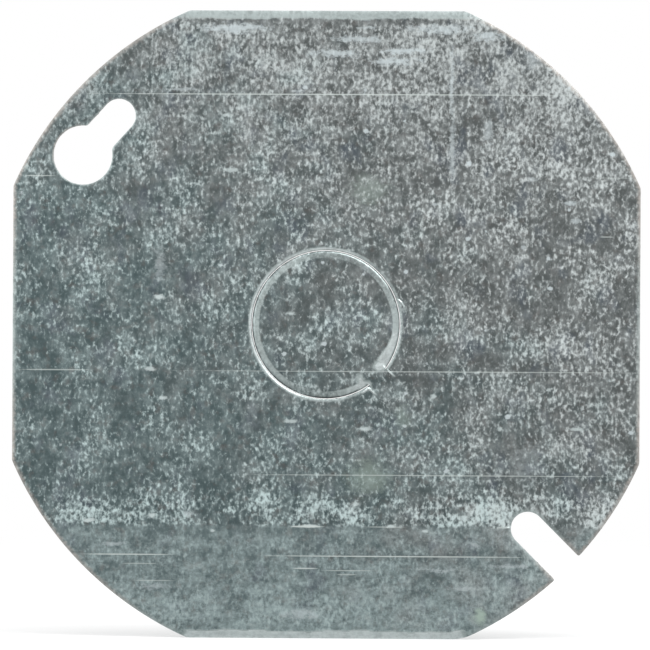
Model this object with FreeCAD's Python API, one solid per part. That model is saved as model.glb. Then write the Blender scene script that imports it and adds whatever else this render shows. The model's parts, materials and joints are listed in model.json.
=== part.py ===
import FreeCAD, Part
import math
import os

# A flat cover for a 4 inch octagon electrical box, blanked from one piece of galvanised sheet.
# Its centre knockout is a disc sheared free all round except for one tie.
# The origin is the middle of the back face, the face that lies on the box. Lengths are in mm.
# +Y runs into the box, so the front face looks along -Y. +Z is up and +X is to the right.

V = FreeCAD.Vector

# Sheet and outline
SHEET = 1.6                 # 1/16 in plate
OUTLINE_R = 52.4            # 4 1/8 in round, cut by four flats
ACROSS_FLATS = 96.0
CORNER_R = 1.0              # where a flat meets the round
SOFT_CORNER_R = 9.0         # the lower right corner, rounded more than the others
EDGE_ROLL_R = 0.30          # the front edge, rolled over by the blanking die

# Seats for the two cover screws, on one line through the middle
SCREW_SPACING = 88.9        # 3 1/2 in between the screws
SEAT_ANGLE = 135.0          # from +X towards +Z, in degrees
KEY_SEAT_R = 45.05          # from the middle to the narrow end of the keyhole
KEY_EYE_R = 45.4            # from the middle to the wide end of the keyhole
KEY_EYE_ANGLE = 145.4
KEY_EYE_HOLE_R = 4.53       # lets a screw's head through
SLOT_R = 2.57               # half the width of both slots, clear of a No. 8 screw

# Centre knockout, trade size 1/2 in
KNOCKOUT_R = 11.40
SHEAR_GAP = 0.12            # all round between the disc and its hole
PROUD = 0.25                # how far the disc stands out of the front face
ROLL_WIDTH = 1.28           # the band of the disc's front edge that the die rolled over
ROLL_DEPTH = 0.35
TIE_ANGLE = -45.0
TIE_WIDTH = 3.8
TIE_REACH = 1.1             # how far the tie runs into the plate and into the disc

FRONT = -SHEET
SLUG_R = KNOCKOUT_R - SHEAR_GAP
HINGE_R = KNOCKOUT_R - SHEAR_GAP / 2
MARGIN = 1.0                # how far each cutter runs past the sheet
INTO_BOX = V(0, 1, 0)
TOLERANCE = 1e-6


def on_face(radius, angle_deg, y=0.0):
    """The point at this radius and angle from the middle of the cover."""
    angle = math.radians(angle_deg)
    return V(radius * math.cos(angle), y, radius * math.sin(angle))


def sheet_cutter(centre, radius):
    """A round punch that goes right through the sheet."""
    start = V(centre.x, FRONT - MARGIN, centre.z)
    return Part.makeCylinder(radius, SHEET + 2 * MARGIN, start, INTO_BOX)


def bar_cutter(start, angle_deg, length, half_width):
    """A straight punch that runs from start at this angle and goes right through the sheet."""
    bar = Part.makeBox(length, SHEET + 2 * MARGIN, 2 * half_width, V(0, FRONT - MARGIN, -half_width))
    bar.rotate(V(0, 0, 0), V(0, 1, 0), -angle_deg)
    bar.translate(V(start.x, 0, start.z))
    return bar


def outline():
    """The round blank, cut by a flat on each side, with its eight corners softened."""
    blank = Part.makeCylinder(OUTLINE_R, SHEET, V(0, FRONT, 0), INTO_BOX)
    half = ACROSS_FLATS / 2
    square = Part.makeBox(ACROSS_FLATS, SHEET, ACROSS_FLATS, V(-half, FRONT, -half))
    blank = blank.common(square)
    soft_corner = V(math.sqrt(OUTLINE_R**2 - half**2), FRONT / 2, -half)
    soft, plain = [], []
    for edge in blank.Edges:
        if abs(edge.BoundBox.YLength - SHEET) < TOLERANCE and edge.Curve.TypeId == "Part::GeomLine":
            near = edge.CenterOfMass.distanceToPoint(soft_corner) < CORNER_R
            (soft if near else plain).append(edge)
    blank = blank.makeFillet(CORNER_R, plain)
    soft = [e for e in blank.Edges if e.CenterOfMass.distanceToPoint(soft_corner) < CORNER_R]
    return blank.makeFillet(SOFT_CORNER_R, soft)


def keyhole():
    """The wide eye, and the slot that runs from it to the seat of the first screw."""
    eye = on_face(KEY_EYE_R, KEY_EYE_ANGLE)
    seat = on_face(KEY_SEAT_R, SEAT_ANGLE)
    run = seat - eye
    angle = math.degrees(math.atan2(run.z, run.x))
    slot = bar_cutter(eye, angle, run.Length, SLOT_R).fuse(sheet_cutter(seat, SLOT_R))
    return slot.fuse(sheet_cutter(eye, KEY_EYE_HOLE_R)).removeSplitter()


def open_slot():
    """The slot that opens through the rim, with the seat of the second screw at its closed end."""
    seat = on_face(KEY_SEAT_R - SCREW_SPACING, SEAT_ANGLE)
    bar = bar_cutter(seat, SEAT_ANGLE - 180.0, OUTLINE_R, SLOT_R)
    return bar.fuse(sheet_cutter(seat, SLOT_R)).removeSplitter()


def tie_block(inner_r, outer_r):
    """A straight bar across the sheet at the tie, from one radius to the other."""
    return bar_cutter(on_face(inner_r, TIE_ANGLE), TIE_ANGLE, outer_r - inner_r, TIE_WIDTH / 2)


def roll_front_edges(plate):
    """Rounds every front edge that the blanking die rolled over."""
    front = []
    for edge in plate.Edges:
        box = edge.BoundBox
        if box.YLength < TOLERANCE and abs(box.YMin - FRONT) < TOLERANCE:
            front.append(edge)
    return plate.makeFillet(EDGE_ROLL_R, front)


def cover_plate():
    plate = outline().cut(keyhole()).cut(open_slot())
    plate = roll_front_edges(plate)
    plate = plate.cut(sheet_cutter(V(0, 0, 0), KNOCKOUT_R))
    return plate.cut(tie_block(0.0, HINGE_R + TIE_REACH))


def knockout_slug():
    """The disc, turned from its half section. Its front edge is rolled over, its back edge square."""
    front, back = FRONT - PROUD, -PROUD
    flat_r = SLUG_R - ROLL_WIDTH
    bend_r = (ROLL_WIDTH**2 + ROLL_DEPTH**2) / (2 * ROLL_DEPTH)
    half_turn = math.asin(ROLL_WIDTH / bend_r) / 2
    middle = V(flat_r + bend_r * math.sin(half_turn), front + bend_r * (1 - math.cos(half_turn)), 0)
    rim = V(SLUG_R, front + ROLL_DEPTH, 0)
    section = [
        Part.LineSegment(V(0, back, 0), V(0, front, 0)),
        Part.LineSegment(V(0, front, 0), V(flat_r, front, 0)),
        Part.Arc(V(flat_r, front, 0), middle, rim),
        Part.LineSegment(rim, V(SLUG_R, back, 0)),
        Part.LineSegment(V(SLUG_R, back, 0), V(0, back, 0)),
    ]
    wire = Part.Wire([line.toShape() for line in section])
    disc = Part.Face(wire).revolve(V(0, 0, 0), INTO_BOX, 360)
    return disc.cut(tie_block(HINGE_R - TIE_REACH, KNOCKOUT_R + MARGIN))


def knockout_tie():
    """The unsheared metal between the disc and the plate, set off by as much as the disc is."""
    inner, outer = HINGE_R - TIE_REACH, HINGE_R + TIE_REACH
    corners = [V(inner, -PROUD, 0), V(outer, 0, 0), V(outer, FRONT, 0), V(inner, FRONT - PROUD, 0)]
    tie = Part.Face(Part.makePolygon(corners + corners[:1])).extrude(V(0, 0, TIE_WIDTH))
    tie.translate(V(0, 0, -TIE_WIDTH / 2))
    tie.rotate(V(0, 0, 0), V(0, 1, 0), -TIE_ANGLE)
    return tie


os.makedirs("parts", exist_ok=True)
for make in (cover_plate, knockout_slug, knockout_tie):
    solid = make().Solids[0]
    solid.exportStep(f"parts/{make.__name__}.step")
    print(make.__name__, "valid", solid.isValid(), "volume", round(solid.Volume, 2), "mm3")

hinge = on_face(HINGE_R, TIE_ANGLE)
print("knockout hinge at", round(hinge.x, 4), round(hinge.y, 4), round(hinge.z, 4))
for name, radius, angle in (
    ("keyhole seat", KEY_SEAT_R, SEAT_ANGLE),
    ("keyhole eye", KEY_EYE_R, KEY_EYE_ANGLE),
    ("open slot seat", KEY_SEAT_R - SCREW_SPACING, SEAT_ANGLE),
):
    place = on_face(radius, angle)
    print(name, "at", round(place.x, 4), round(place.z, 4))
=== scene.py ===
import json
import math

import bpy
import numpy as np
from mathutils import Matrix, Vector
from mathutils.geometry import delaunay_2d_cdt
from mathutils.kdtree import KDTree


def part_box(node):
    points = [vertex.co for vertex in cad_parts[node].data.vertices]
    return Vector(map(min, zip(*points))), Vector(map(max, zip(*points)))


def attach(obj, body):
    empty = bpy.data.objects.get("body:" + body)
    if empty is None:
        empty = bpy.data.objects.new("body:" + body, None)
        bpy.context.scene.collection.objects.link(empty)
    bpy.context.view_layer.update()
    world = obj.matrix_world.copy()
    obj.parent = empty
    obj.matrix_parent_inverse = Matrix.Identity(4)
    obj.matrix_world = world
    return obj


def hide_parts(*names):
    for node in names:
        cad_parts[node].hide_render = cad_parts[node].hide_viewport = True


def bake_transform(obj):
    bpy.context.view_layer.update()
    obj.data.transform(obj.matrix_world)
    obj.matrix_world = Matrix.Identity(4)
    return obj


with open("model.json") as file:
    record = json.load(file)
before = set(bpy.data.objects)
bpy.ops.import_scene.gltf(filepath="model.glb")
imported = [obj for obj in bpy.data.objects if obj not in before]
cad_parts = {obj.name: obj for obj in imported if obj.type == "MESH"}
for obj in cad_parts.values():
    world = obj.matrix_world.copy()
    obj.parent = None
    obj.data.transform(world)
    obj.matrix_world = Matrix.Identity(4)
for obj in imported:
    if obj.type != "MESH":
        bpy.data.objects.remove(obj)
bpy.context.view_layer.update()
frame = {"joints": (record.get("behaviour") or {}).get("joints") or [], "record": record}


# ---- The cover plate ----
# One round blank of galvanised sheet, cut by four flats, pierced by the keyhole, notched by the open
# slot and sheared through round the knockout. Each punch rolls the front edge over, shears a bright
# land and then tears the rest of the wall.

MM = 0.001
OUTLINE_R = 52.4 * MM
KEY_EYE_R = 4.53 * MM
KEY_EYE_AT = (45.4 * MM, 145.4)
CORNER_REACH = 0.35 * MM
SOFT_CORNER_REACH = 1.9 * MM
EDGE_STEP = 0.28 * MM
FACE_STEP = 1.1 * MM
EDGE_RINGS = (0.06, 0.13, 0.21, 0.31, 0.44, 0.60, 0.80, 1.02, 1.22, 1.38, 1.6, 1.9, 2.3)
FINE_STEP = 0.17 * MM
TORN_FROM = 0.42
TORN_BACK = 0.09 * MM
TORN_ROUGH = 0.018 * MM
WALL_STATIONS = (0.07, 0.2, 0.36, 0.46, 0.6, 0.75, 0.9)

plate_low, plate_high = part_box("cover_plate")
FRONT, BACK = plate_low.y, plate_high.y
HALF = plate_high.x
mounts = {mount["name"]: mount for mount in frame["record"]["mounts"]}


def across(place):
    """The X and Z of a place in the frame, as a point on the sheet."""
    return np.array((place[0], place[2]))


def around(radius, degrees):
    """The point on the sheet at this radius and angle from the middle."""
    return radius * np.array((math.cos(math.radians(degrees)), math.sin(math.radians(degrees))))


KEY_SEAT = across(mounts["keyhole_seat"]["pos_m"])
SLOT_SEAT = across(mounts["open_slot_seat"]["pos_m"])
SLOT_R = mounts["keyhole_seat"]["dims"]["r_mm"] * MM
HOLE_R = mounts["conduit_knockout"]["dims"]["r_mm"] * MM
KEY_EYE = around(*KEY_EYE_AT)
TIE_AT = math.degrees(math.atan2(*reversed(across(frame["joints"][0]["pos_m"]))))


def arc(centre, radius, start, end):
    """Points along an arc, about EDGE_STEP apart, from one angle up to but not at the other."""
    count = max(3, round(abs(math.radians(end - start)) * radius / EDGE_STEP))
    angles = np.radians(np.linspace(start, end, count, endpoint=False))
    return centre + radius * np.column_stack((np.cos(angles), np.sin(angles)))


def straight(a, b):
    """Points along a straight line, about EDGE_STEP apart, up to but not at its end."""
    count = max(1, round(math.dist(a, b) / EDGE_STEP))
    return a + (b - a) * np.linspace(0, 1, count, endpoint=False)[:, None]


def soften(loop, corner, reach):
    """Rounds a corner of the loop off, from this reach before it to this reach after it."""
    away = np.hypot(*(loop - corner).T)
    loop = np.roll(loop, len(loop) // 2 - int(away.argmin()), axis=0)
    near = np.flatnonzero(np.hypot(*(loop - corner).T) <= reach)
    first, last = near[0], near[-1]
    t = np.linspace(0, 1, last - first + 1)[:, None]
    before, after = loop[first].copy(), loop[last].copy()
    loop[first:last + 1] = (1 - t) ** 2 * before + 2 * t * (1 - t) * corner + t**2 * after
    return loop


def outline():
    """The rim of the blank with the open slot in it. The metal is on its left."""
    flat = math.degrees(math.acos(HALF / OUTLINE_R))
    slot_way = math.degrees(math.atan2(SLOT_SEAT[1], SLOT_SEAT[0])) % 360
    mouth = math.degrees(math.asin(SLOT_R / OUTLINE_R))
    lips = [around(OUTLINE_R, slot_way - mouth), around(OUTLINE_R, slot_way + mouth)]
    inner = [SLOT_SEAT + around(SLOT_R, slot_way - 90), SLOT_SEAT + around(SLOT_R, slot_way + 90)]
    centre = np.zeros(2)
    parts, corners = [], []
    for quarter in (0, 90, 180, 270):
        start, end = quarter + flat, quarter + 90 - flat
        corners += [around(OUTLINE_R, start), around(OUTLINE_R, end)]
        if start < slot_way < end:
            parts += [arc(centre, OUTLINE_R, start, slot_way - mouth), straight(lips[0], inner[0])]
            parts += [arc(SLOT_SEAT, SLOT_R, slot_way - 90, slot_way - 270)]
            parts += [straight(inner[1], lips[1]), arc(centre, OUTLINE_R, slot_way + mouth, end)]
        else:
            parts.append(arc(centre, OUTLINE_R, start, end))
        parts.append(straight(corners[-1], around(OUTLINE_R, end + 2 * flat)))
    loop = np.vstack(parts)
    for corner in corners + lips:
        loop = soften(loop, corner, CORNER_REACH)
    return soften(loop, around(OUTLINE_R, 270 + flat), SOFT_CORNER_REACH)


def keyhole():
    """Round the keyhole the other way, so that the metal is on its left as well."""
    way = math.degrees(math.atan2(*reversed(KEY_SEAT - KEY_EYE)))
    opening = math.degrees(math.asin(SLOT_R / KEY_EYE_R))
    upper, lower = KEY_EYE + around(KEY_EYE_R, way + opening), KEY_EYE + around(KEY_EYE_R, way - opening)
    loop = np.vstack([
        straight(upper, KEY_SEAT + around(SLOT_R, way + 90)),
        arc(KEY_SEAT, SLOT_R, way + 90, way - 90),
        straight(KEY_SEAT + around(SLOT_R, way - 90), lower),
        arc(KEY_EYE, KEY_EYE_R, way - opening, way + opening - 360)])
    return soften(soften(loop, upper, 1.3 * CORNER_REACH), lower, 2 * CORNER_REACH)


loops = [outline(), keyhole(), arc(np.zeros(2), HOLE_R, 360, 0)]
rim = np.vstack(loops)
firsts = np.cumsum([0] + [len(loop) for loop in loops])[:-1]
after = np.concatenate([first + np.roll(np.arange(len(loop)), -1) for loop, first in zip(loops, firsts)])
before = np.argsort(after)
rim_run = rim[after] - rim[before]
rim_out = np.column_stack((rim_run[:, 1], -rim_run[:, 0]))
rim_out /= np.hypot(*rim_out.T)[:, None]

rim_tree = KDTree(len(rim))
for number, point in enumerate(rim):
    rim_tree.insert((point[0], point[1], 0), number)
rim_tree.balance()


def from_rim(points):
    """How far each point is from the cut edge, and which point of the edge is nearest."""
    found = [rim_tree.find((x, z, 0)) for x, z in points]
    nearest = np.array([f[1] for f in found])
    away = np.array([f[2] for f in found])
    for other in (before, after):
        start, run = rim[nearest], rim[other[nearest]] - rim[nearest]
        t = np.clip(((points - start) * run).sum(1) / (run**2).sum(1), 0, 1)
        away = np.minimum(away, np.hypot(*(points - start - t[:, None] * run).T))
    return away, nearest


def in_metal(points):
    """Whether each point is inside the sheet: whether its row crosses the edge an odd number of times."""
    inside = np.zeros(len(points), bool)
    for i in range(0, len(points), 2000):
        x, z = points[i:i + 2000, :1], points[i:i + 2000, 1:]
        (ax, az), (bx, bz) = rim.T, rim[after].T
        slope = (bx - ax) / np.where(az == bz, 1, bz - az)
        crosses = ((az > z) != (bz > z)) & (x < ax + (z - az) * slope)
        inside[i:i + 2000] = crosses.sum(1) % 2 == 1
    return inside


def staggered(low, high, step):
    """Points in staggered rows that fill a rectangle."""
    xs = np.arange(low[0], high[0], step)
    zs = np.arange(low[1], high[1], step * math.sqrt(3) / 2)
    gx, gz = np.meshgrid(xs, zs)
    gx[1::2] += step / 2
    return np.column_stack((gx.ravel(), gz.ravel()))


def sheet_face(rings, step, fine=()):
    """Points and triangles that fill the sheet: its edge, rings inside it, a grid and finer patches."""
    points = [rim]
    for ring in rings:
        moved = rim - rim_out * ring * MM
        away, _ = from_rim(moved)
        points.append(moved[(away > 0.93 * ring * MM) & in_metal(moved)])
    clear = rings[-1] * MM
    spots = [staggered(spot - reach, spot + reach, FINE_STEP) for spot, reach in fine]
    for patch in spots:
        patch = patch[in_metal(patch)]
        away, _ = from_rim(patch)
        points.append(patch[away > 0.6 * FINE_STEP])
    grid = staggered((-HALF, -HALF), (HALF, HALF), step)
    for spot, reach in fine:
        grid = grid[np.abs(grid - spot).max(1) > reach + 0.3 * step]
    grid = grid[in_metal(grid)]
    away, _ = from_rim(grid)
    points.append(grid[away > clear + 0.4 * step])
    points = np.vstack(points)
    edges = [(i, int(j)) for i, j in enumerate(after)]
    verts, _, faces, _, _, _ = delaunay_2d_cdt([Vector(p) for p in points], edges, [], 0, 1e-9)
    flat = np.array([tuple(v) for v in verts])
    faces = np.array([face for face in faces if len(face) == 3])
    return flat, faces[in_metal(flat[faces].mean(1))]


def smooth(value, low, high):
    """A soft step from 0 at low to 1 at high, which may also run downwards."""
    t = np.clip((value - low) / (high - low), 0, 1)
    return t * t * (3 - 2 * t)


def from_angle(angle, other):
    """How many degrees lie between an angle and another, either way round."""
    return np.abs((angle - other + 180) % 360 - 180)


# How wide and deep the front edge is rolled over on the round rim, in millimetres, and how much wider
# and deeper it is on the top and bottom flats, at the two sides, at both slots and at the knockout.
ROLL_WIDTH, ROLL_DEPTH = 0.85, 0.14
FLAT_WIDER, FLAT_DEEPER = 0.50, 0.05
SIDE_WIDER, SIDE_DEEPER = -0.08, -0.01
SLOT_WIDER, SLOT_DEEPER = -0.50, -0.06
HOLE_WIDER = -0.47
# The sheet's edge round the knockout: how wide its rubbed lip and the dull halo round it are.
LIP_FULL, LIP_END = 0.26 * MM, 0.62 * MM
HALO_REACH = 1.1 * MM
# The flats' inner edge wavers: each wave's length and height in millimetres, and its start.
FLAT_WAVES = ((2.9, 0.10, 0.0), (0.83, 0.07, 1.0), (0.31, 0.04, 0.0))


def rolled_edge(points):
    """How far the punch pulled the front face down, how much it burnished it, and where painted shade
    darkens the face beside the flats' rolled bands.
    """
    away, nearest = from_rim(points)
    x, z = rim[nearest].T
    slit = smooth(np.abs(z), 0.985 * HALF, 0.997 * HALF)
    side = smooth(np.abs(x), 0.985 * HALF, 0.997 * HALF)
    hole = smooth(np.hypot(x, z), 1.3 * HOLE_R, 1.1 * HOLE_R)
    pierced = np.where(nearest >= firsts[1], 1.0, 0.0) * (1 - hole)
    uneven = sum(height * np.sin(x / (length * MM) + start) for length, height, start in FLAT_WAVES)
    width = ROLL_WIDTH + (FLAT_WIDER + uneven) * slit + SIDE_WIDER * side
    width = MM * (width + SLOT_WIDER * pierced + HOLE_WIDER * hole)
    depth = MM * (ROLL_DEPTH + FLAT_DEEPER * slit + SIDE_DEEPER * side + SLOT_DEEPER * pierced)
    t = np.clip(1 - away / width, 0, 1)
    halo = np.clip(1 - away / HALO_REACH, 0, 1) * hole
    plateau = smooth(width - away, 0.0, 0.22 * MM) * slit
    slope = (1 - slit) * t * (0.95 + 0.10 * side)
    way = np.degrees(np.arctan2(z, x))
    lip = hole * smooth(away, LIP_END, LIP_FULL) * (0.78 + 0.22 * smooth(away, 0.03 * MM, 0.16 * MM))
    # Painted shade: the lip's burnish is lowered on the right and near the bottom of the hole's edge, which
    # darkens it there.
    painted_lip_shade = 0.46 * smooth(from_angle(way, 0), 75, 42) + 0.40 * smooth(from_angle(way, -78), 38, 14)
    lip = lip * (1 - painted_lip_shade)
    halo_gain = 0.22 + 0.30 * smooth(from_angle(way, 135), 100, 60)
    plateau = plateau * np.where(z < 0, 0.96, 0.84)
    burnish = np.maximum(plateau + 0.07 * slit * t**3, slope * (1 - hole) * 0.75)
    burnish = np.maximum(burnish, lip) + halo_gain * halo**2 * (1 - lip)
    # Painted shade: a narrow strip just inside the flats' rolled band, where the flecks are thinned.
    shadow = slit * smooth(away, width, width + 0.1 * MM) * smooth(width + 0.9 * MM, away, away + 0.5 * MM)
    return depth * t**2 + 0.03 * MM * halo**2, burnish, shadow


def ridge(points, path, heights, half_width):
    """The height at each point of a ridge that runs along this path, at these heights on the way."""
    raised = np.zeros(len(points))
    for a, b, low, high in zip(path, path[1:], heights, heights[1:]):
        a, run = np.array(a) * MM, (np.array(b) - np.array(a)) * MM
        t = np.clip(((points - a) * run).sum(1) / (run**2).sum(), 0, 1)
        away = np.hypot(*(points - a - t[:, None] * run).T)
        raised = np.maximum(raised, (low + (high - low) * t) * np.exp(-((away / half_width / MM) ** 2)))
    return raised * MM


def raised_marks(points):
    """Where the punch has torn and lifted the sheet: at both ends of the shear, and in a nick by it."""
    return sum((
        ridge(points, [(9.1, -6.7), (10.0, -7.4), (10.9, -8.1)], [0.10, 0.13, 0.0], 0.17),
        ridge(points, [(6.4, -9.55), (7.2, -10.2), (8.0, -10.95)], [0.15, 0.14, 0.0], 0.17),
        ridge(points, [(5.2, -10.55), (5.9, -10.2), (6.5, -9.75)], [0.0, 0.14, 0.15], 0.22),
        ridge(points, [(11.1, 3.85), (11.55, 3.45), (12.0, 2.75)], [0.17, 0.16, 0.07], 0.13),
        ridge(points, [(12.0, 2.75), (11.9, 2.1), (11.65, 1.4)], [0.07, 0.06, 0.02], 0.11),
        ridge(points, [(26.5, -30.85), (28.3, -30.95)], [0.0, 0.12], 0.13)))


# A rubbed spot this high is bright all over, though never quite as bright as new zinc.
SPOT_FULL = 0.06 * MM
SPOT_BRIGHTEST = 0.95


def rubbed_spots(points):
    """How high the sheet stands where the punch rubbed it bright, at both ends of the shear."""
    return sum((
        ridge(points, [(8.2, -6.3), (9.3, -5.6)], [0.10, 0.09], 0.80),
        ridge(points, [(5.2, -8.0), (5.6, -9.0), (6.4, -9.2)], [0.05, 0.09, 0.08], 0.60),
        ridge(points, [(5.4, -9.9), (6.3, -9.5)], [0.05, 0.05], 0.50)))


def sheet_mesh(name, verts, faces, bare, burnish, shadow=None):
    """A mesh of the coated sheet. Faces marked bare are sheared steel; burnish is kept on the points."""
    mesh = bpy.data.meshes.new(name)
    mesh.from_pydata(verts.tolist(), [], [[int(i) for i in face] for face in faces])
    mesh.polygons.foreach_set("material_index", np.asarray(bare, np.int32))
    for label, values in (("burnish", burnish), ("shadow", shadow)):
        attribute = mesh.attributes.new(label, "FLOAT", "POINT")
        if values is not None:
            attribute.data.foreach_set("value", np.asarray(values, np.float32))
    mesh.shade_smooth()
    mesh.set_sharp_from_angle(angle=math.radians(42))
    piece = bpy.data.objects.new(name, mesh)
    bpy.context.scene.collection.objects.link(piece)
    return piece


def blanked_plate():
    fine_patches = [(np.array((8.4, -8.6)) * MM, 3.3 * MM), (np.array((11.9, 2.6)) * MM, 1.6 * MM),
                    (np.array((27.2, -30.9)) * MM, 1.2 * MM)]
    front, front_faces = sheet_face(EDGE_RINGS, FACE_STEP, fine_patches)
    back, back_faces = sheet_face((0.15, 0.5, 1.2), 2.2 * MM)
    drop, burnish, shadow = rolled_edge(front)
    marks = raised_marks(front)
    burnish = np.maximum(burnish, np.clip(marks / (0.09 * MM), 0, 1))
    layers = [np.column_stack((front[:, 0], FRONT + drop - marks, front[:, 1]))]
    starts = [0]
    rng = np.random.default_rng(11)
    count = len(rim)
    for depth in WALL_STATIONS:
        torn = max(0.0, (depth - TORN_FROM) / (1 - TORN_FROM))
        rough = rng.normal(0, TORN_ROUGH, count) * (torn > 0)
        edge = rim - rim_out * (TORN_BACK * torn + rough)[:, None]
        y = FRONT + drop[:count] + (BACK - FRONT - drop[:count]) * depth
        starts.append(sum(len(layer) for layer in layers))
        layers.append(np.column_stack((edge[:, 0], y, edge[:, 1])))
    starts.append(sum(len(layer) for layer in layers))
    back[:count] = rim - rim_out * TORN_BACK
    layers.append(np.column_stack((back[:, 0], np.full(len(back), BACK), back[:, 1])))
    here = np.arange(count)
    walls = [np.column_stack((top + here, top + after, low + after, low + here))
             for top, low in zip(starts, starts[1:])]
    walls = np.vstack(walls)
    faces = front_faces.tolist() + walls.tolist() + (back_faces[:, ::-1] + starts[-1]).tolist()
    bare = [0] * len(front_faces) + [1] * len(walls) + [0] * len(back_faces)
    verts = np.vstack(layers)
    worn = np.zeros(len(verts))
    worn[:len(front)] = burnish
    # The shadow attribute carries painted shade beside the flats' rolled bands.
    dull = np.zeros(len(verts))
    dull[:len(front)] = shadow
    return sheet_mesh("cover_plate_sheet", verts, faces, bare, worn, dull)


# The coat is hot-dip zinc, cold rolled and weathered: fine pale flecks of zinc on a darker grey-green
# ground, greener towards the lower left. Rolls and stacking left long straight scratches and smears.

GREY_GROUND = (0.097, 0.108, 0.107, 1)
GREEN_GROUND = (0.076, 0.108, 0.112, 1)
BROWN_GROUND = (0.112, 0.107, 0.102, 1)
BLUE_GROUND = (0.088, 0.107, 0.128, 1)
GREY_FLECK = (0.64, 0.69, 0.69, 1)
GREEN_FLECK = (0.57, 0.69, 0.69, 1)
BURNISHED_ZINC = (0.44, 0.505, 0.50, 1)
WARM_BURNISH = (0.50, 0.47, 0.44, 1)
BRIGHT_ZINC = (0.70, 0.765, 0.765, 1)
SMEAR = (0.59, 0.66, 0.68, 1)
GRAIN = (0.60, 0.68, 0.68, 1)
SCRATCH = (0.62, 0.68, 0.66, 1)
STAIN = (0.40, 0.50, 0.44, 1)
# How much of the plain sheet the flecks cover, and how deep a mark goes into the sheet.
PLAIN_COVER = 0.455
MARK_DEPTH = 0.6 * MM
# Where each region of the coat begins and where it is complete, up the sheet or across it; the upper and
# lowest regions are partly painted light.
SMOOTHER_BAND = (-30.4 * MM, -31.2 * MM)
DENSE_ROW = (-24.0 * MM, -28.6 * MM)
LOWEST_COAT_AND_LIGHT = (-34.0 * MM, -46.0 * MM)
UPPER_COAT_AND_LIGHT = (12.0 * MM, 46.0 * MM)
RIGHT_HAND = (-30.0 * MM, 48.0 * MM)


class Wiring:
    """Adds nodes to one tree and wires them in the order in which they are written."""

    def __init__(self, tree):
        self.tree = tree
        tree.nodes.clear()

    def add(self, kind, settings=None, **inputs):
        node = self.tree.nodes.new(kind)
        for name, value in (settings or {}).items():
            setattr(node, name, value)
        for name, value in inputs.items():
            self.feed(node, name.replace("_", " "), value)
        return node

    def feed(self, node, name, value):
        socket = node.inputs[name]
        if isinstance(value, bpy.types.NodeSocket):
            self.tree.links.new(value, socket)
        else:
            socket.default_value = value

    def math(self, operation, *values, clamp=False):
        node = self.add("ShaderNodeMath", {"operation": operation, "use_clamp": clamp})
        for index, value in enumerate(values):
            self.feed(node, index, value)
        return node.outputs[0]

    def blend(self, factor, first, second):
        node = self.add("ShaderNodeMix", {"data_type": "RGBA"})
        for index, value in ((0, factor), (6, first), (7, second)):
            self.feed(node, index, value)
        return node.outputs[2]

    def ramp(self, value, low, high, to_low=0.0, to_high=1.0):
        node = self.add("ShaderNodeMapRange", {"interpolation_type": "SMOOTHSTEP"})
        for index, number in enumerate((value, low, high, to_low, to_high)):
            self.feed(node, index, number)
        return node.outputs[0]

    def noise(self, vector, size, detail=2.0, roughness=0.5, distortion=0.0):
        scale = 1 / size if isinstance(size, float) else self.math("DIVIDE", 1.0, size)
        node = self.add("ShaderNodeTexNoise", Vector=vector, Scale=scale, Detail=detail,
                        Roughness=roughness, Distortion=distortion)
        return node.outputs["Fac"]

    def stretched(self, vector, x, y, z):
        return self.add("ShaderNodeMapping", Vector=vector, Scale=(1 / x, 1 / y, 1 / z)).outputs[0]


def node_group(name, inputs, outputs):
    """A new node group with these sockets, and its wiring, its input node and its output node."""
    tree = bpy.data.node_groups.new(name, "ShaderNodeTree")
    for label, kind, value in inputs:
        socket = tree.interface.new_socket(label, in_out="INPUT", socket_type="NodeSocket" + kind)
        if value is not None:
            socket.default_value = value
    for label, kind in outputs:
        tree.interface.new_socket(label, in_out="OUTPUT", socket_type="NodeSocket" + kind)
    wiring = Wiring(tree)
    return tree, wiring, wiring.add("NodeGroupInput").outputs, wiring.add("NodeGroupOutput")


def flecks_group():
    """Pale squiggles of zinc, a few tenths of a millimetre across, gathered in loose clusters."""
    tree, w, given, out = node_group(
        "zinc flecks",
        [("Vector", "Vector", None), ("Fleck size", "Float", 0.55 * MM), ("Stretch", "Float", 1.42),
         ("Cover", "Float", 0.5), ("Clustering", "Float", 0.50), ("Softness", "Float", 0.12)],
        [("Fleck", "Float"), ("Haze", "Float")])
    squeeze = w.math("DIVIDE", 1.0, given["Stretch"])
    place = w.add("ShaderNodeVectorMath", {"operation": "MULTIPLY"})
    w.feed(place, 0, given["Vector"])
    w.feed(place, 1, w.add("ShaderNodeCombineXYZ", X=1.0, Y=1.0, Z=squeeze).outputs[0])
    fine = w.noise(place.outputs[0], given["Fleck size"], 3.5, 0.62, 0.12)
    cluster = w.noise(given["Vector"], 6.5 * MM, 4.0, 0.72)
    haze = w.noise(place.outputs[0], w.math("MULTIPLY", 2.0, given["Fleck size"]), 3.0, 0.68, 0.2)
    edge = w.math("SUBTRACT", 0.83, w.math("MULTIPLY", given["Cover"], 0.5))
    lean = w.math("MULTIPLY", w.math("SUBTRACT", cluster, 0.5), given["Clustering"])
    edge = w.math("SUBTRACT", edge, lean)
    low = w.math("SUBTRACT", edge, given["Softness"])
    high = w.math("ADD", edge, w.math("MULTIPLY", given["Softness"], 1.5))
    w.feed(out, "Fleck", w.ramp(fine, low, high))
    w.feed(out, "Haze", w.ramp(w.math("ADD", haze, lean), 0.28, 0.78))
    return tree


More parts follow.
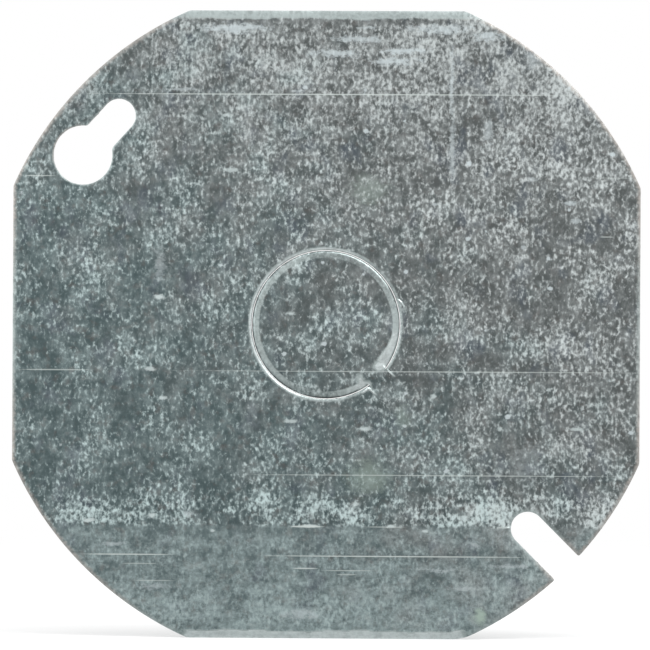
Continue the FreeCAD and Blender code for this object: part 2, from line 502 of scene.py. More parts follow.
def mark_group():
    """One scratch, smear or stain: a soft frayed oval of its own colour over the colour under it."""
    tree, w, given, out = node_group(
        "mark",
        [("Vector", "Vector", None), ("Fray", "Float", 0.0), ("Under", "Color", None),
         ("Colour", "Color", (1, 1, 1, 1)), ("Centre", "Vector", None),
         ("Half size", "Vector", (MM, 1, MM)), ("Core", "Float", 0.55), ("Strength", "Float", 1.0)],
        [("Colour", "Color")])
    place = w.add("ShaderNodeMapping", {"vector_type": "TEXTURE"}, Vector=given["Vector"],
                  Location=given["Centre"], Scale=given["Half size"]).outputs[0]
    away = w.add("ShaderNodeVectorMath", {"operation": "LENGTH"})
    w.feed(away, 0, place)
    away = w.math("ADD", away.outputs["Value"], given["Fray"])
    mask = w.math("MULTIPLY", w.ramp(away, 1.1, given["Core"]), given["Strength"])
    w.feed(out, "Colour", w.blend(mask, given["Under"], given["Colour"]))
    return tree


FLECKS = flecks_group()
MARK = mark_group()

# Each mark in millimetres: its middle, half its length, half its height; and then its strength.
SCRATCHES = [
    (1.0, 35.2, 38.6, 0.10, 0.70), (-44.0, 22.6, 2.4, 0.10, 0.60),
    (43.6, 22.6, 3.5, 0.08, 0.35), (14.0, -7.15, 36.0, 0.09, 0.50),
    (-41.6, -7.1, 5.6, 0.10, 0.55),
    (16.5, -23.0, 29.5, 0.09, 0.50), (-30.3, -35.3, 7.4, 0.09, 0.85),
    (11.0, -35.4, 20.6, 0.09, 0.85), (-3.0, -37.3, 2.0, 0.10, 0.80),
    (3.6, -37.6, 4.0, 0.08, 0.55), (3.4, -38.2, 1.5, 0.12, 0.45),
    (9.3, -30.9, 3.2, 0.09, 0.50), (42.8, 13.6, 1.1, 0.07, 0.70),
    (-28.3, -36.7, 2.8, 0.10, 0.40), (-26.2, -39.3, 3.1, 0.10, 0.40),
    (-2.7, -30.9, 2.6, 0.16, 0.90), (27.4, -30.9, 1.0, 0.16, 0.70),
]
GRAINS = [
    (-2.4, -30.8, 1.6, 0.34, 0.95), (10.1, -30.8, 0.9, 0.32, 0.90),
    (-36.1, -30.1, 1.1, 0.38, 0.90), (-26.5, -29.3, 0.6, 0.42, 0.85),
    (15.3, -31.5, 0.6, 0.32, 0.85), (-17.2, -31.6, 0.5, 0.26, 0.75),
    (-25.5, 4.1, 1.1, 0.46, 0.90), (-14.6, 23.6, 1.5, 0.42, 0.70),
    (-15.4, 32.0, 0.8, 0.36, 0.70), (-5.4, 1.7, 1.1, 0.42, 0.80),
    (-26.9, -6.9, 1.0, 0.42, 0.75), (-24.9, -11.3, 0.8, 0.36, 0.75),
    (-5.3, -14.8, 1.3, 0.40, 0.70), (6.1, -15.9, 1.3, 0.46, 0.75),
    (38.3, -15.8, 1.5, 0.34, 0.70), (16.5, -10.9, 0.5, 0.48, 0.75),
    (26.7, -15.8, 0.5, 0.42, 0.70), (4.7, -27.4, 0.9, 0.36, 0.65),
    (-0.9, -10.1, 0.5, 0.46, 0.65),
]
SMEARS = [
    (-14.4, 45.3, 5.2, 0.95, 0.75), (1.5, 41.5, 4.4, 0.80, 0.68),
    (4.9, 43.7, 4.0, 0.70, 0.65), (11.6, 41.9, 4.3, 0.60, 0.78),
    (10.6, 40.3, 4.0, 0.75, 0.74), (17.6, 45.2, 5.4, 0.80, 0.65),
    (24.5, 44.2, 3.4, 0.75, 0.68), (6.0, 45.4, 1.9, 0.35, 0.55),
    (-22.5, 35.9, 2.8, 0.32, 0.45), (-4.2, 35.7, 1.0, 0.30, 0.60),
    (5.8, 35.9, 0.5, 0.55, 0.65), (37.4, 18.7, 1.1, 0.40, 0.65),
    (38.0, 15.9, 0.9, 0.60, 0.50), (30.1, 11.9, 0.45, 0.50, 0.55),
    (31.5, 22.3, 0.8, 0.45, 0.50), (16.6, 18.4, 0.6, 0.40, 0.60),
    (-26.2, -40.2, 2.8, 0.60, 0.40), (-3.6, -44.4, 3.0, 0.85, 0.45),
    (21.2, -40.2, 2.8, 0.60, 0.40), (-21.0, -29.0, 0.8, 0.75, 0.55),
    (-32.6, -33.7, 2.6, 0.40, 0.45), (23.2, -33.7, 1.1, 0.60, 0.45),
    (17.6, -37.5, 2.6, 0.45, 0.50), (28.4, -36.8, 3.4, 0.40, 0.50),
    (24.8, 29.6, 0.8, 2.40, 0.40), (31.5, 40.5, 1.6, 1.30, 0.35),
    (-25.4, 9.0, 0.9, 3.0, 0.35), (30.9, -21.0, 3.4, 3.2, 0.20),
    (19.1, 37.5, 0.42, 5.5, 0.60), (19.2, 27.0, 0.5, 5.5, 0.45),
]
STAINS = [
    (23.8, -44.5, 1.35, 1.5, 0.95), (6.6, -23.4, 4.2, 3.6, 0.36),
    (6.4, 20.5, 3.6, 3.0, 0.26), (11.9, -14.4, 1.7, 2.4, 0.26),
]


def lay_marks(w, place, colour, kinds):
    """The colour with every mark laid over it, one kind after the other."""
    for mark_colour, marks, frayed, fraying, core in kinds:
        ragged = w.math("MULTIPLY", w.math("SUBTRACT", frayed, 0.5), fraying)
        for at_x, at_z, half_x, half_z, strength in marks:
            colour = w.add(
                "ShaderNodeGroup", {"node_tree": MARK}, Vector=place, Fray=ragged, Under=colour,
                Colour=mark_colour, Centre=(at_x * MM, FRONT, at_z * MM),
                Half_size=(half_x * MM, MARK_DEPTH, half_z * MM), Core=core, Strength=strength).outputs[0]
    return colour


def rubbed_zinc(w, place, z, burnish):
    """The colour of the rubbed edges: warmer on the round rim, and brightest where rubbed most."""
    away = w.add("ShaderNodeVectorMath", {"operation": "LENGTH"})
    w.feed(away, 0, place)
    round_edge = w.ramp(away.outputs["Value"], 0.90 * OUTLINE_R, 0.97 * OUTLINE_R)
    off_flat = w.ramp(w.math("ABSOLUTE", z), 0.98 * HALF, 0.96 * HALF)
    off_flat = w.math("MULTIPLY", off_flat, w.ramp(z, -0.95 * HALF, -0.85 * HALF))
    rubbed = w.blend(w.math("MULTIPLY", round_edge, off_flat), BURNISHED_ZINC, WARM_BURNISH)
    return w.blend(w.ramp(burnish, 0.86, 1.0), rubbed, BRIGHT_ZINC)


def zinc_coat():
    """The coat on the front and back: flecks on their ground, then the marks, then the rubbed edges."""
    material = bpy.data.materials.new("galvanised sheet")
    material.use_nodes = True
    w = Wiring(material.node_tree)
    place = w.add("ShaderNodeTexCoord").outputs["Object"]
    x, y, z = w.add("ShaderNodeSeparateXYZ", Vector=place).outputs
    burnish = w.add("ShaderNodeAttribute", {"attribute_name": "burnish"}).outputs["Fac"]
    shadow = w.add("ShaderNodeAttribute", {"attribute_name": "shadow"}).outputs["Fac"]
    front = w.ramp(y, FRONT / 2, FRONT / 2 - 0.1 * MM)

    patch = w.noise(place, 5.0 * MM, 2.0, 0.6)
    smudge = w.noise(w.stretched(place, 2.2, 1, 1), 1.8 * MM, 4.0, 0.68)
    fray = w.noise(place, 0.45 * MM, 2.0, 0.6)

    # The lower band of the coil was skin-passed smoother, with a dense row of flecks left above it.
    level = w.math("ADD", z, w.math("MULTIPLY", w.math("SUBTRACT", smudge, 0.5), 1.6 * MM))
    band = w.math("MULTIPLY", w.ramp(level, *SMOOTHER_BAND), front)
    row = w.math("MULTIPLY", w.ramp(level, *DENSE_ROW), w.math("SUBTRACT", front, band))
    gaps = w.noise(w.stretched(place, 2, 1, 1), 2.6 * MM, 2.0)
    row = w.math("MULTIPLY", row, w.ramp(gaps, 0.34, 0.56, 0.35, 1.0))
    # The upper and lowest regions get more flecks, and the top more haze: partly the coat, partly painted
    # light where the sheet is lit brighter.
    low = w.ramp(z, *LOWEST_COAT_AND_LIGHT)
    top = w.ramp(z, *UPPER_COAT_AND_LIGHT)
    right = w.ramp(x, *RIGHT_HAND)
    mottled = w.math("SUBTRACT", patch, 0.5)
    # The shadow attribute thins the flecks: painted shade beside the flats' rolled bands and on the disc's
    # flat at the upper right.
    cover = PLAIN_COVER
    for where, more in ((right, 0.07), (top, 0.13), (row, 0.26), (low, 0.10), (mottled, 0.20),
                        (shadow, -0.20)):
        cover = w.math("ADD", cover, w.math("MULTIPLY", where, more))
    flecks = w.add("ShaderNodeGroup", {"node_tree": FLECKS}, Vector=place, Cover=cover)
    fleck = flecks.outputs["Fleck"]

    green = w.math("SUBTRACT", 0.5, w.math("MULTIPLY", w.math("ADD", x, z), 1 / (110 * MM)))
    green = w.ramp(w.math("ADD", green, mottled), 0.1, 0.9)
    tinge = w.noise(place, 1.3 * MM, 2.0, 0.6)
    ground = w.blend(green, GREY_GROUND, GREEN_GROUND)
    ground = w.blend(w.ramp(tinge, 0.52, 0.74, 0.0, 0.6), ground, BROWN_GROUND)
    bloom = w.noise(w.stretched(place, 1, 1, 1.3), 3.6 * MM, 2.0, 0.6)
    ground = w.blend(w.ramp(bloom, 0.54, 0.74, 0.0, 0.7), ground, BLUE_GROUND)
    pale = w.blend(green, GREY_FLECK, GREEN_FLECK)
    haze = w.math("MULTIPLY", flecks.outputs["Haze"], w.ramp(top, 0.0, 1.0, 0.27, 0.40))
    ground = w.blend(haze, ground, pale)
    fade = w.math("SUBTRACT", w.ramp(top, 0.0, 1.0, 0.97, 0.76), w.math("MULTIPLY", band, 0.54))
    colour = w.blend(w.math("MULTIPLY", w.math("POWER", fleck, 1.2), fade), ground, pale)
    film = w.math("ADD", smudge, w.math("MULTIPLY", low, 0.15))
    film = w.math("ADD", film, w.math("MULTIPLY", w.math("SUBTRACT", fray, 0.5), 0.7))
    film = w.ramp(film, 0.35, 0.95, 0.05, 0.46)
    film = w.math("MULTIPLY", band, film)
    colour = w.blend(film, colour, pale)

    # A few bigger grains of zinc stand alone among the flecks.
    cell = w.add("ShaderNodeTexVoronoi", Vector=w.stretched(place, 1.2, 1, 1), Scale=1 / (2.6 * MM))
    lot = w.add("ShaderNodeSeparateColor", Color=cell.outputs["Color"]).outputs
    reach = w.math("MULTIPLY", w.ramp(lot[0], 0.62, 1.0), 0.15)
    grain = w.math("ADD", cell.outputs["Distance"], w.math("MULTIPLY", w.math("SUBTRACT", fray, 0.5), 0.22))
    grain = w.math("MULTIPLY", w.ramp(w.math("SUBTRACT", grain, reach), 0.02, -0.05), 0.8)
    grain = w.math("MULTIPLY", grain, w.math("GREATER_THAN", lot[0], 0.64))
    colour = w.blend(w.math("MULTIPLY", grain, w.math("SUBTRACT", 1.0, band)), colour, SMEAR)

    # For each kind of mark: its colour, its list, what frays its edge and how far, and its solid core.
    scuff = w.noise(w.stretched(place, 1.5, 1, 1), 0.62 * MM, 4.0, 0.72)
    kinds = (
        (SMEAR, SMEARS, scuff, 3.4, 0.20),
        (GRAIN, GRAINS, fray, 1.3, 0.35),
        (STAIN, STAINS, scuff, 1.7, 0.20),
        (SCRATCH, SCRATCHES, fray, 0.6, 0.75))
    colour = lay_marks(w, place, colour, kinds)

    # The rolled edges are rubbed bright in patches.
    # The burnish attribute also carries painted light: a painted highlight on the disc's lip at the upper
    # right, and painted shade on the disc's lip in the groove, on its band at the bottom and on the hole's
    # lip.
    worn = w.math("ADD", burnish, w.math("MULTIPLY", w.math("SUBTRACT", fray, 0.5), 0.9))
    worn = w.math("MULTIPLY", w.ramp(worn, 0.0, 0.90), w.ramp(burnish, 0.0, 0.25))
    patchy = w.math("MULTIPLY", worn, w.ramp(scuff, 0.34, 0.62, 0.66, 0.98))
    colour = w.blend(patchy, colour, rubbed_zinc(w, place, z, burnish))

    rough = w.math("SUBTRACT", w.ramp(fleck, 0.0, 1.0, 0.40, 0.52), w.math("MULTIPLY", worn, 0.10))
    relief = w.add("ShaderNodeBump", Strength=0.35, Distance=0.03 * MM, Height=fleck)
    metal = w.add("ShaderNodeBsdfPrincipled", Base_Color=colour, Metallic=0.92, Roughness=rough,
                  Normal=relief.outputs[0])
    w.add("ShaderNodeOutputMaterial", Surface=metal.outputs[0])
    return material


# The sheared walls are bare steel: a bright land, drawn in fine upright lines by the punch, and under
# it the grey torn zone, which has begun to brown.

LAND = (0.46, 0.45, 0.43, 1)
TORN = (0.17, 0.165, 0.155, 1)
BROWNED = (0.15, 0.105, 0.07, 1)


def sheared_steel():
    """The cut walls: the drawn land by the front, and the torn zone behind it."""
    material = bpy.data.materials.new("sheared steel")
    material.use_nodes = True
    w = Wiring(material.node_tree)
    place = w.add("ShaderNodeTexCoord").outputs["Object"]
    y = w.add("ShaderNodeSeparateXYZ", Vector=place).outputs["Y"]
    drawn = w.noise(w.stretched(place, 1, 12, 1), 0.12 * MM, 3.0, 0.6)
    grain = w.noise(place, 0.14 * MM, 4.0, 0.65)
    patch = w.noise(place, 2.5 * MM, 3.0, 0.6)
    edge = w.math("ADD", y, w.math("MULTIPLY", w.math("SUBTRACT", drawn, 0.5), 0.5 * MM))
    torn = w.ramp(edge, FRONT * 0.62, FRONT * 0.55)
    colour = w.blend(torn, w.blend(w.ramp(drawn, 0.3, 0.7), LAND, TORN), TORN)
    colour = w.blend(w.math("MULTIPLY", w.ramp(patch, 0.5, 0.75, 0.0, 0.7), torn), colour, BROWNED)
    rough = w.math("ADD", w.ramp(drawn, 0.3, 0.7, 0.26, 0.40), w.math("MULTIPLY", torn, 0.15))
    height = w.blend(torn, drawn, grain)
    relief = w.add("ShaderNodeBump", Strength=0.5, Distance=0.03 * MM, Height=height)
    metal = w.add("ShaderNodeBsdfPrincipled", Base_Color=colour, Metallic=1.0, Roughness=rough,
                  Normal=relief.outputs[0])
    w.add("ShaderNodeOutputMaterial", Surface=metal.outputs[0])
    return material


ZINC = zinc_coat()
BARE_STEEL = sheared_steel()


def finish_sheet(piece, *stands_for, body=None):
    """The finish of every piece of the sheet, the CAD nodes it stands for, and the body it rides on."""
    for material in (ZINC, BARE_STEEL):
        piece.data.materials.append(material)
    if stands_for:
        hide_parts(*stands_for)
    if body:
        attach(piece, body)


finish_sheet(blanked_plate(), "cover_plate", body="cover")


# ---- The knockout disc ----
# The disc that leaves the sheet when the knockout is opened, punched almost free and pressed back until
# it stands a little out of the front. Its front edge is rolled over in one broad smooth band.

disc_low, disc_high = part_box("knockout_slug")
DISC_R = disc_high.x
DISC_FRONT, DISC_BACK = disc_low.y, disc_high.y
FLAT_R = 10.02 * MM
BAND_DROP = 0.46 * MM
LIP_SHARPNESS = 8.0
DISC_TURNS = 480
# Stations on the disc's section, and where its flat, band and wall end among them.
DISC_STATIONS = 64
FLAT_END, BAND_END, WALL_END = 20, 44, 56
CROWD_OUTWARD = 0.35
# How many degrees to each side of the tie the disc's edge was left unsheared, and how much of the
# band's drop is missing there.
TIE_SPREAD = 9.2
BRIDGE_FILL = 0.85


def disc_rule():
    """Geometry nodes that turn the disc's section about the middle, on a grid of turns and stations."""
    tree = bpy.data.node_groups.new("knockout disc", "GeometryNodeTree")
    sockets = {}
    tree.interface.new_socket("Geometry", in_out="OUTPUT", socket_type="NodeSocketGeometry")
    for label in ("Radius", "Flat radius", "Front", "Back", "Band drop", "Lip sharpness", "Wall taper"):
        sockets[label] = tree.interface.new_socket(label, in_out="INPUT", socket_type="NodeSocketFloat")
    sockets["Turns"] = tree.interface.new_socket("Turns", in_out="INPUT", socket_type="NodeSocketInt")
    w = Wiring(tree)
    given = w.add("NodeGroupInput").outputs
    columns = w.math("ADD", given["Turns"], 1.0)
    grid = w.add("GeometryNodeMeshGrid", Size_X=1.0, Size_Y=1.0, Vertices_X=columns,
                 Vertices_Y=DISC_STATIONS + 1)
    across_grid = w.add("ShaderNodeSeparateXYZ", Vector=w.add("GeometryNodeInputPosition").outputs[0])
    angle = w.math("MULTIPLY", w.math("ADD", across_grid.outputs["X"], 0.5), 2 * math.pi)
    way = w.math("ADD", across_grid.outputs["Y"], 0.5)

    def part(first, last):
        return w.add("ShaderNodeMapRange", {"clamp": True}, Value=way, From_Min=first / DISC_STATIONS,
                     From_Max=last / DISC_STATIONS).outputs[0]

    flat, band = w.math("POWER", part(0, FLAT_END), CROWD_OUTWARD), part(FLAT_END, BAND_END)
    wall, back = part(BAND_END, WALL_END), part(WALL_END, DISC_STATIONS)
    band_width = w.math("SUBTRACT", given["Radius"], given["Flat radius"])
    radius = w.math("MULTIPLY", flat, given["Flat radius"])
    radius = w.math("ADD", radius, w.math("MULTIPLY", band, band_width))
    torn = w.add("ShaderNodeMapRange", {"clamp": True}, Value=wall, From_Min=TORN_FROM,
                 From_Max=1.0).outputs[0]
    radius = w.math("SUBTRACT", radius, w.math("MULTIPLY", torn, given["Wall taper"]))
    radius = w.math("MULTIPLY", radius, w.math("SUBTRACT", 1.0, back))
    lip = w.math("POWER", band, given["Lip sharpness"])
    dip = w.math("ADD", w.math("MULTIPLY", band, 0.5), w.math("MULTIPLY", lip, 0.5))
    y = w.math("ADD", given["Front"], w.math("MULTIPLY", dip, given["Band drop"]))
    depth = w.math("SUBTRACT", given["Back"], y)
    y = w.math("ADD", y, w.math("MULTIPLY", wall, depth))
    place = w.add("ShaderNodeCombineXYZ", X=w.math("MULTIPLY", radius, w.math("COSINE", angle)), Y=y,
                  Z=w.math("MULTIPLY", radius, w.math("SINE", angle))).outputs[0]
    kept = grid.outputs["Mesh"]
    for label, value in (("band", band), ("wall", wall)):
        kept = w.add("GeometryNodeStoreNamedAttribute", {"data_type": "FLOAT", "domain": "POINT"},
                     Geometry=kept, Name=label, Value=value).outputs[0]
    turned = w.add("GeometryNodeSetPosition", Geometry=kept, Position=place)
    merged = w.add("GeometryNodeMergeByDistance", Geometry=turned.outputs[0], Distance=0.004 * MM)
    real = w.add("GeometryNodeRealizeInstances", Geometry=merged.outputs[0])
    coated = w.add("GeometryNodeSetMaterial", Geometry=real.outputs[0], Material=ZINC)
    out = w.add("NodeGroupOutput")
    w.feed(out, "Geometry", coated.outputs[0])
    return tree, sockets


def grown(name, tree, sockets, values, start=None):
    """Runs a tree of geometry nodes with these values, and gives back its result as a plain mesh."""
    holder = bpy.data.objects.new(name + "_rule", start or bpy.data.meshes.new(name + "_start"))
    bpy.context.scene.collection.objects.link(holder)
    modifier = holder.modifiers.new("rule", "NODES")
    modifier.node_group = tree
    for label, value in values.items():
        modifier[sockets[label].identifier] = value
    bpy.context.view_layer.update()
    evaluated = holder.evaluated_get(bpy.context.evaluated_depsgraph_get())
    mesh = bpy.data.meshes.new_from_object(evaluated)
    mesh.name = name
    bpy.data.objects.remove(holder)
    return mesh


def knockout_disc():
    """The disc turned by its rule, then dented, rubbed, and given painted shade and a painted highlight by
    its angle round the middle.
    """
    tree, sockets = disc_rule()
    mesh = grown("knockout_disc", tree, sockets, {
        "Radius": DISC_R, "Flat radius": FLAT_R, "Front": DISC_FRONT, "Back": DISC_BACK,
        "Band drop": BAND_DROP, "Lip sharpness": LIP_SHARPNESS, "Wall taper": TORN_BACK,
        "Turns": DISC_TURNS})
    count = len(mesh.vertices)
    verts = np.zeros(count * 3)
    mesh.vertices.foreach_get("co", verts)
    verts = verts.reshape(-1, 3)
    band, wall = np.zeros(count), np.zeros(count)
    mesh.attributes["band"].data.foreach_get("value", band)
    mesh.attributes["wall"].data.foreach_get("value", wall)
    faces = [tuple(polygon.vertices) for polygon in mesh.polygons]
    bpy.data.meshes.remove(mesh)
    flat = verts[:, [0, 2]]
    front = wall < 0.001
    angle = np.degrees(np.arctan2(flat[:, 1], flat[:, 0]))
    by_tie = from_angle(angle, TIE_AT)
    # The band fades out at the tie, where the disc was never sheared.
    bridge = smooth(by_tie, TIE_SPREAD + 1.8, TIE_SPREAD)
    dip = BAND_DROP * (0.5 * band + 0.5 * band**LIP_SHARPNESS)
    verts[:, 1] -= np.where(front, dip * BRIDGE_FILL * bridge, 0)
    dents = rubbed_spots(flat)
    lift = ridge(flat, [(4.15, -9.9), (4.1, -8.4), (4.15, -6.7)], [0.05, 0.06, 0.0], 0.14)
    verts[:, 1] += np.where(front, dents - lift, 0)
    # It was rubbed brightest on both sides of the tie, and least at the upper right; the dimming at the
    # bottom, where the band faces down, is painted shade.
    rubbed = 0.40 * smooth(from_angle(angle, -26), 42, 12) + 0.32 * smooth(from_angle(angle, -64), 18, 6)
    rubbed = rubbed + 0.14 * smooth(from_angle(angle, -158), 42, 10)
    missed_and_shade = 0.24 * smooth(from_angle(angle, 72), 52, 14) + 0.28 * smooth(from_angle(angle, -104), 26, 4)
    # Painted shade darkens the lip in the groove beside the plate, except on one stretch at the upper
    # right, where a painted highlight brightens the lip instead.
    bright_share = smooth(from_angle(angle, 56), 32, 20)
    painted_highlight = bright_share * smooth(band, 0.72, 0.88)
    painted_groove_shade = smooth(band, 0.76, 0.90) * (1 - bright_share) * (1 - 0.7 * smooth(from_angle(angle, -12), 40, 15))
    level = np.minimum(0.60 + rubbed - missed_and_shade + 0.40 * painted_highlight, 0.95) * (1 - 0.75 * painted_groove_shade)
    radius = np.hypot(*flat.T)
    widening = 0.75 * MM * smooth(angle, -6, -34) * (angle > TIE_AT)
    inner = FLAT_R + 0.12 * MM - widening
    burnish = smooth(radius, inner - 0.10 * MM, inner + 0.22 * MM) * (1 - bridge) * level
    burnish = np.maximum(burnish, np.clip((dents + 0.8 * lift) / SPOT_FULL, 0, SPOT_BRIGHTEST))
    burnish = np.where(front, burnish, 0)
    bare = []
    for face in faces:
        between = wall[list(face)]
        bare.append(1 if between.max() > 0.0005 and between.min() < 0.9995 else 0)
    # Painted shade: the flat beside the band gets fewer flecks on the upper right, which darkens it.
    shadow = 0.6 * front * smooth(radius, 6.5 * MM, 9.0 * MM) * smooth(from_angle(angle, 20), 70, 35)
    return sheet_mesh("knockout_disc", verts, faces, bare, burnish, shadow)


finish_sheet(knockout_disc(), "knockout_slug", body="knockout")


# ---- The tie ----
# The short bridge that the punch left between the disc and the plate. It slopes from the disc's level down
# to the plate's, with a crease along each side.

TIE_HALF = 1.78 * MM
TIE_INNER, TIE_OUTER = 10.0 * MM, 13.3 * MM
TIE_PROUD = 0.012 * MM
TIE_CREASE = 0.05 * MM
TIE_WAY = around(1.0, TIE_AT)
TIE_ACROSS = around(1.0, TIE_AT + 90)


def tie_bridge():
    """A closed strip, laid along the tie from the disc to the plate, with creased sides."""
    lengths, widths = 40, 36
    along, side = np.meshgrid(np.linspace(0, 1, lengths), np.linspace(-1, 1, widths), indexing="ij")
    radius = TIE_INNER + (TIE_OUTER - TIE_INNER) * along
    slope = smooth(along, 0.08, 1.0)
    front = DISC_FRONT + (FRONT - DISC_FRONT) * slope - TIE_PROUD
    feather = smooth(np.abs(side), 0.86, 1.0)
    ends = smooth(along, 0.95, 1.0) + smooth(along, 0.06, 0.0)
    front = front + feather * TIE_CREASE + TIE_PROUD * 2.2 * ends
    back = DISC_BACK + (BACK - DISC_BACK) * smooth(along, 0.2, 0.75) - 0.01 * MM
    half = TIE_HALF * (1 - 0.06 * np.sin(along * math.pi * 2.3))
    flat = radius[..., None] * TIE_WAY + (side * half)[..., None] * TIE_ACROSS
    top = np.column_stack((flat[..., 0].ravel(), front.ravel(), flat[..., 1].ravel()))
    low = np.column_stack((flat[..., 0].ravel(), back.ravel(), flat[..., 1].ravel()))
    index = np.arange(lengths * widths).reshape(lengths, widths)
    quads = np.stack((index[:-1, :-1], index[:-1, 1:], index[1:, 1:], index[1:, :-1]), -1).reshape(-1, 4)
    edge = np.concatenate((index[:-1, 0], index[-1, :-1], index[:0:-1, -1], index[0, :0:-1]))
    beyond = np.roll(edge, -1)
    under = lengths * widths
    walls = np.column_stack((edge, edge + under, beyond + under, beyond))
    faces = quads.tolist() + (quads[:, ::-1] + under).tolist() + walls.tolist()
    spots = np.clip(rubbed_spots(top[:, [0, 2]]) / SPOT_FULL, 0, SPOT_BRIGHTEST)
    burnish = np.concatenate((np.maximum(0.5 * feather.ravel(), spots), np.zeros(under)))
    return sheet_mesh("knockout_tie_bridge", np.vstack((top, low)), faces, [0] * len(faces), burnish)


tie = tie_bridge()
finish_sheet(tie, "knockout_tie")
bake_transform(tie)


# ---- The burrs ----
# A thin ragged bead of steel stands up along the back of every sheared edge, where the punch broke
# through. It is thicker in some places than in others.

BURR_R = 0.035 * MM


def burr_rule():
    """Geometry nodes that run a bead along a closed line of edges, its thickness changing on the way."""
    tree = bpy.data.node_groups.new("burr", "GeometryNodeTree")
    sockets = {}
    tree.interface.new_socket("Geometry", in_out="INPUT", socket_type="NodeSocketGeometry")
    tree.interface.new_socket("Geometry", in_out="OUTPUT", socket_type="NodeSocketGeometry")
    for label in ("Thickness", "Step", "Unevenness"):
        sockets[label] = tree.interface.new_socket(label, in_out="INPUT", socket_type="NodeSocketFloat")
    w = Wiring(tree)
    given = w.add("NodeGroupInput").outputs
    curve = w.add("GeometryNodeMeshToCurve", Mesh=given["Geometry"])
    even = w.add("GeometryNodeResampleCurve", {"mode": "LENGTH"}, Curve=curve.outputs[0],
                 Length=given["Step"])
    waver = w.add("ShaderNodeTexNoise", Scale=1 / (0.9 * MM), Detail=3.0,
                  Vector=w.add("GeometryNodeInputPosition").outputs[0]).outputs["Fac"]
    share = w.math("MULTIPLY", w.math("SUBTRACT", waver, 0.5), given["Unevenness"])
    thick = w.math("MULTIPLY", given["Thickness"], w.math("MAXIMUM", 0.2, w.math("ADD", 1.0, share)))
    profile = w.add("GeometryNodeCurvePrimitiveCircle", Resolution=6, Radius=1.0)
    swept = w.add("GeometryNodeCurveToMesh", Curve=even.outputs[0], Profile_Curve=profile.outputs[0],
                  Scale=thick)
    real = w.add("GeometryNodeRealizeInstances", Geometry=swept.outputs[0])
    steel = w.add("GeometryNodeSetMaterial", Geometry=real.outputs[0], Material=BARE_STEEL)
    w.feed(w.add("NodeGroupOutput"), "Geometry", steel.outputs[0])
    return tree, sockets


BURR = burr_rule()


def burr(name, lines, level, body):
    """One mesh of burrs along these closed lines, at this level, riding on a body."""
    start = bpy.data.meshes.new(name + "_lines")
    verts, edges = [], []
    for loop in lines:
        first = len(verts)
        verts += [(x, level, z) for x, z in loop]
        edges += [(first + i, first + (i + 1) % len(loop)) for i in range(len(loop))]
    start.from_pydata(verts, edges, [])
    tree, sockets = BURR
    mesh = grown(name, tree, sockets, {"Thickness": BURR_R, "Step": 0.25 * MM, "Unevenness": 2.6}, start)
    mesh.shade_smooth()
    piece = bpy.data.objects.new(name, mesh)
    bpy.context.scene.collection.objects.link(piece)
    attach(piece, body)


torn_rim = rim - rim_out * (TORN_BACK + 0.3 * BURR_R)
burr("plate_burr", np.split(torn_rim, firsts[1:]), BACK, "cover")
burr("disc_burr", [arc(np.zeros(2), DISC_R - TORN_BACK - 0.3 * BURR_R, 0, 360)], DISC_BACK, "knockout")


# ---- The studio ----
# A plain pale floor, a soft white surround and three soft lamps: the main one at the upper right, a
# weak one at the left and one over the top.

scene = bpy.context.scene
scene.view_settings.view_transform = "Standard"
scene.view_settings.look = "None"

FLOOR_R = 0.6
VIEW_WIDTH = 99.4 * MM
DISTANCE = 1.0
CAMERA_ROLL = math.radians(0.3)
CAMERA_TURN = math.radians(2.0)
CAMERA_LEFT, CAMERA_BELOW = 0.18 * MM, 0.06 * MM
PAPER, PALER_PAPER, GREY_PAPER = (0.92, 0.92, 0.92, 1), (0.95, 0.95, 0.95, 1), (0.50, 0.50, 0.50, 1)
WHITE = (1, 1, 1, 1)


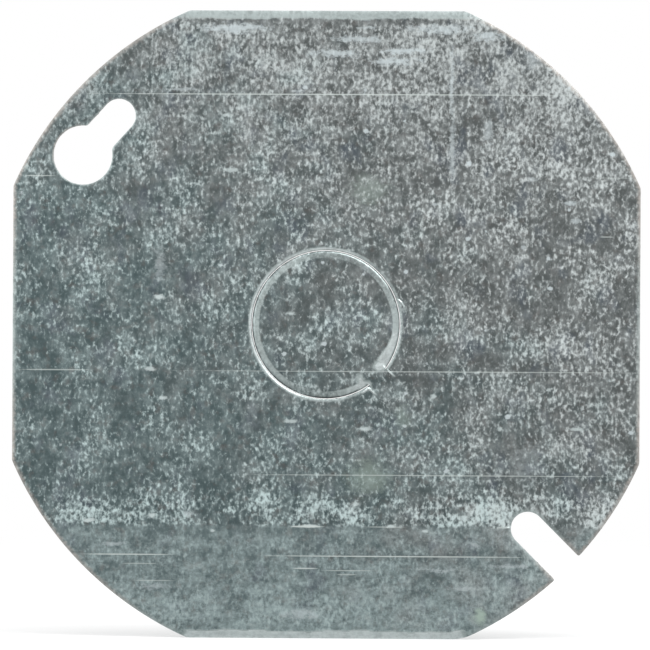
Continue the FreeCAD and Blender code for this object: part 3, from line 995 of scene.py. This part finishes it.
def pale_floor():
    """A round of pale paper under the cover, which fades to plain white away from it."""
    mesh = bpy.data.meshes.new("floor")
    edge = [(*around(FLOOR_R, degrees), plate_low.z) for degrees in range(0, 360, 4)]
    mesh.from_pydata(edge, [], [range(len(edge))])
    floor = bpy.data.objects.new("floor", mesh)
    scene.collection.objects.link(floor)
    material = bpy.data.materials.new("pale floor")
    material.use_nodes = True
    w = Wiring(material.node_tree)
    place = w.add("ShaderNodeTexCoord").outputs["Object"]
    away = w.add("ShaderNodeVectorMath", {"operation": "LENGTH"})
    w.feed(away, 0, place)
    grain = w.noise(place, 1.5 * MM, 2.0)
    paper = w.add("ShaderNodeBsdfDiffuse", Color=w.blend(grain, PAPER, PALER_PAPER))
    glow = w.add("ShaderNodeEmission", Color=WHITE, Strength=1.0)
    fade = w.ramp(away.outputs["Value"], 0.12, 0.45)
    bright_share = w.math("MAXIMUM", fade, 0.4)
    mixed = w.add("ShaderNodeMixShader")
    for index, value in enumerate((bright_share, paper.outputs[0], glow.outputs[0])):
        w.feed(mixed, index, value)
    dull = w.add("ShaderNodeBsdfDiffuse", Color=GREY_PAPER)
    lit = w.add("ShaderNodeMixShader")
    for index, value in enumerate((fade, dull.outputs[0], glow.outputs[0])):
        w.feed(lit, index, value)
    seen = w.add("ShaderNodeLightPath").outputs["Is Camera Ray"]
    shown = w.add("ShaderNodeMixShader")
    for index, value in enumerate((seen, lit.outputs[0], mixed.outputs[0])):
        w.feed(shown, index, value)
    w.add("ShaderNodeOutputMaterial", Surface=shown.outputs[0])
    mesh.materials.append(material)


def white_surround():
    """Plain white light from all round."""
    world = bpy.data.worlds.new("studio")
    scene.world = world
    world.use_nodes = True
    w = Wiring(world.node_tree)
    sky = w.add("ShaderNodeBackground", Color=WHITE, Strength=1.0)
    w.add("ShaderNodeOutputWorld", Surface=sky.outputs[0])


def softbox(name, place, size, power):
    """A soft lamp of this size in metres and power in watts, turned to the middle of the cover."""
    light = bpy.data.lights.new(name, "AREA")
    light.shape = "RECTANGLE"
    light.size, light.size_y = size
    light.energy = power
    lamp = bpy.data.objects.new(name, light)
    lamp.location = place
    lamp.rotation_euler = (-Vector(place)).to_track_quat("-Z", "Y").to_euler()
    scene.collection.objects.link(lamp)


pale_floor()
white_surround()
softbox("main lamp", (0.40, -0.40, 0.56), (0.40, 0.40), 2.0)
softbox("left lamp", (-0.60, -0.35, 0.15), (0.40, 0.50), 0.8)
softbox("top lamp", (0.0, -0.25, 0.70), (0.60, 0.30), 1.6)

camera_data = bpy.data.cameras.new("camera")
camera_data.sensor_width = 36
camera_data.lens = camera_data.sensor_width * (DISTANCE + FRONT) / VIEW_WIDTH
camera = bpy.data.objects.new("camera", camera_data)
camera.location = (DISTANCE * math.sin(CAMERA_TURN) - CAMERA_LEFT, -DISTANCE * math.cos(CAMERA_TURN),
                   -CAMERA_BELOW)
camera.rotation_euler = (math.radians(90), -CAMERA_ROLL, CAMERA_TURN)
scene.collection.objects.link(camera)
scene.camera = camera
